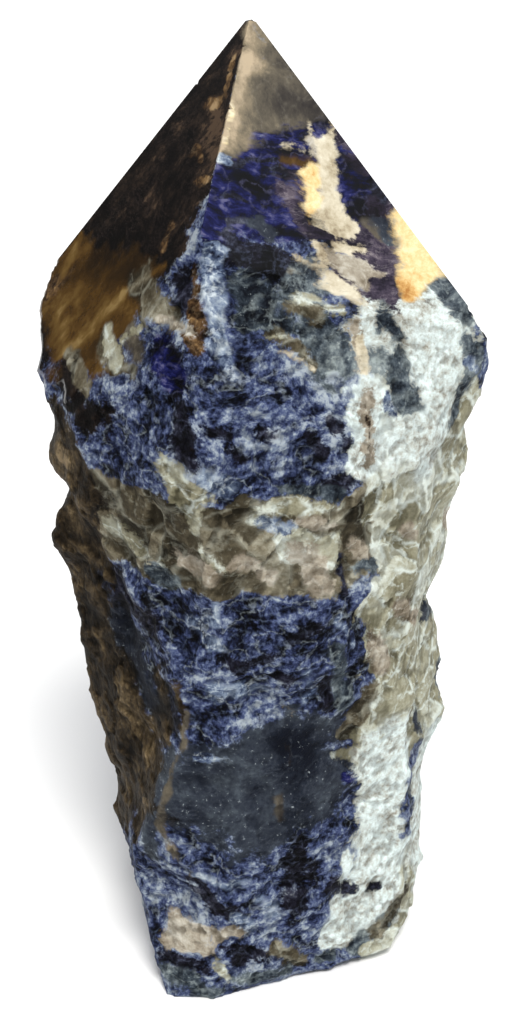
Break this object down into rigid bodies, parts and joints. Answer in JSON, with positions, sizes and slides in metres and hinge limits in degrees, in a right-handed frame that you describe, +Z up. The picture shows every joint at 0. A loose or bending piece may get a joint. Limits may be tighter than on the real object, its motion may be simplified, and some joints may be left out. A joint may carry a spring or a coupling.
{
  "type": "rough sodalite point with polished tip",
  "caption": "Standing natural stone point: a rough broken block with polished flat faces ground to a blunt tip, resting on a small flat spot.",
  "frame": {"origin": "on the surface the stone stands on, under the middle of its outer box", "axes": "+Z up through the polished tip, -Y towards the front ridge, where two polished faces meet"},
  "size_m": [0.0706, 0.0708, 0.15],
  "materials": {
    "sodalite": "royal blue to navy stone with white, cream, smoky grey and brown patches and veins; rough broken sides, polished tip faces"
  },
  "bodies": {
    "root": {"sodalite_point": "sodalite"}
  },
  "joints": []
}
